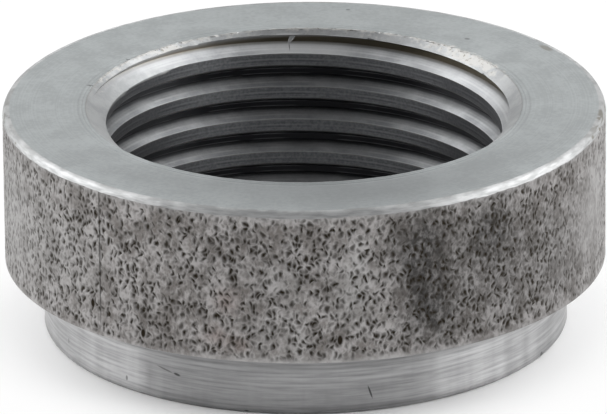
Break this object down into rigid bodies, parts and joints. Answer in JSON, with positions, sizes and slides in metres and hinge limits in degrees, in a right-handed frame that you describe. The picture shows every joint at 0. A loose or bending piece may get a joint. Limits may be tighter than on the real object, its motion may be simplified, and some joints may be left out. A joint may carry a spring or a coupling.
{
  "type": "oxygen sensor bung",
  "caption": "Round stepped steel weld bung: a spigot drops into a hole in an exhaust pipe, a ring seats and is welded on it, and a threaded bore takes an oxygen sensor.",
  "frame": {"origin": "centre of the spigot's end face, on the bore's axis", "axes": "+Z along the bore's axis, from the spigot's end face to the top face that the sensor's gasket meets; X and Y are any two directions across it"},
  "size_m": [0.0254, 0.0254, 0.0096],
  "materials": {
    "steel": "satin"
  },
  "bodies": {
    "root": {"bung": "steel"}
  },
  "joints": []
}
